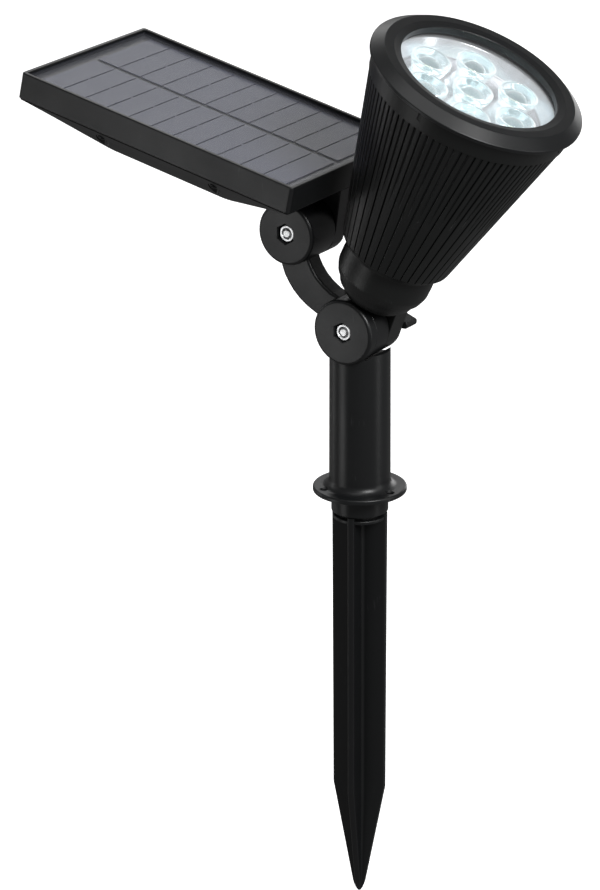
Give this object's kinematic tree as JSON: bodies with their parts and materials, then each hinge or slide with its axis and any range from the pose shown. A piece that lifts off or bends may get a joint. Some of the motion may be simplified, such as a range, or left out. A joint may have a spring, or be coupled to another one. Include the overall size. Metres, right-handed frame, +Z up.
{
  "type": "solar garden light",
  "caption": "Ground-spike solar spotlight: a pole carries a ribbed conical lamp head and, on a curved arm, a tilting rectangular solar panel.",
  "frame": {"origin": "centre of the flange's underside, on the pole's axis, at soil level", "axes": "+Z up the pole, +X the way the lamp leans, +Y along both tilt axes towards the wing knobs"},
  "size_m": [0.2445, 0.0948, 0.4065],
  "materials": {
    "black_abs": "satin",
    "black_nylon": "satin",
    "rubber": "matte",
    "zinc_steel": "satin",
    "clear_plastic": "gloss",
    "silver_reflector": "polished",
    "led_white": "satin",
    "board_white": "satin",
    "board_green": "satin",
    "solar_cell": "gloss",
    "backing_black": "satin",
    "battery_wrap": "satin"
  },
  "bodies": {
    "pole": {"pole": "black_abs", "ground_spike": "black_abs", "lower_nut": "zinc_steel"},
    "arm": {"tilt_arm": "black_abs", "upper_nut": "zinc_steel", "lower_ring_front": "rubber"},
    "panel": {"panel_tray": "black_abs", "panel_seal": "rubber", "pv_backing": "backing_black", "cell_string_near": "solar_cell", "cell_string_far": "solar_cell", "pv_cover": "clear_plastic", "back_cover": "black_abs", "cover_screw_1": "zinc_steel", "cover_screw_2": "zinc_steel", "cover_screw_3": "zinc_steel", "cover_screw_4": "zinc_steel", "charge_board": "board_green", "upper_ring": "rubber"},
    "switch": {"switch_button": "rubber"},
    "lamp": {"lamp_housing": "black_abs", "bezel": "black_abs", "lens_cover": "clear_plastic", "lens_gasket": "rubber", "reflector": "silver_reflector", "collimator_1": "clear_plastic", "collimator_2": "clear_plastic", "collimator_3": "clear_plastic", "collimator_4": "clear_plastic", "collimator_5": "clear_plastic", "collimator_6": "clear_plastic", "collimator_7": "clear_plastic", "led_board": "board_white", "led_1": "led_white", "led_2": "led_white", "led_3": "led_white", "led_4": "led_white", "led_5": "led_white", "led_6": "led_white", "led_7": "led_white", "battery_cell": "battery_wrap", "battery_holder": "black_nylon", "lower_ring_rear": "rubber"},
    "lower_knob": {"lower_knob": "black_nylon", "lower_stud": "zinc_steel"},
    "upper_knob": {"upper_knob": "black_nylon", "upper_stud": "zinc_steel"}
  },
  "joints": [
    {"name": "arm_tilt", "type": "hinge", "parent": "pole", "child": "arm", "pos_m": [0, 0, 0.0756], "axis": [0, 1, 0], "range_deg": [-45, 0]},
    {"name": "lamp_tilt", "type": "hinge", "parent": "pole", "child": "lamp", "pos_m": [0, 0, 0.0756], "axis": [0, 1, 0], "range_deg": [0, 43]},
    {"name": "panel_tilt", "type": "hinge", "parent": "arm", "child": "panel", "pos_m": [-0.0286, 0, 0.1148], "axis": [0, 1, 0], "range_deg": [-45, 3]},
    {"name": "lower_knob_turn", "type": "hinge", "parent": "pole", "child": "lower_knob", "pos_m": [0, 0, 0.0756], "axis": [0, 1, 0], "continuous": true},
    {"name": "upper_knob_turn", "type": "hinge", "parent": "arm", "child": "upper_knob", "pos_m": [-0.0286, 0, 0.1148], "axis": [0, 1, 0], "continuous": true},
    {"name": "button_press", "type": "slide", "parent": "panel", "child": "switch", "axis": [0.2113, 0, 0.9774], "range_m": [0, 0.0008], "stiffness_N_per_m": 600, "springref_m": -0.0006}
  ]
}
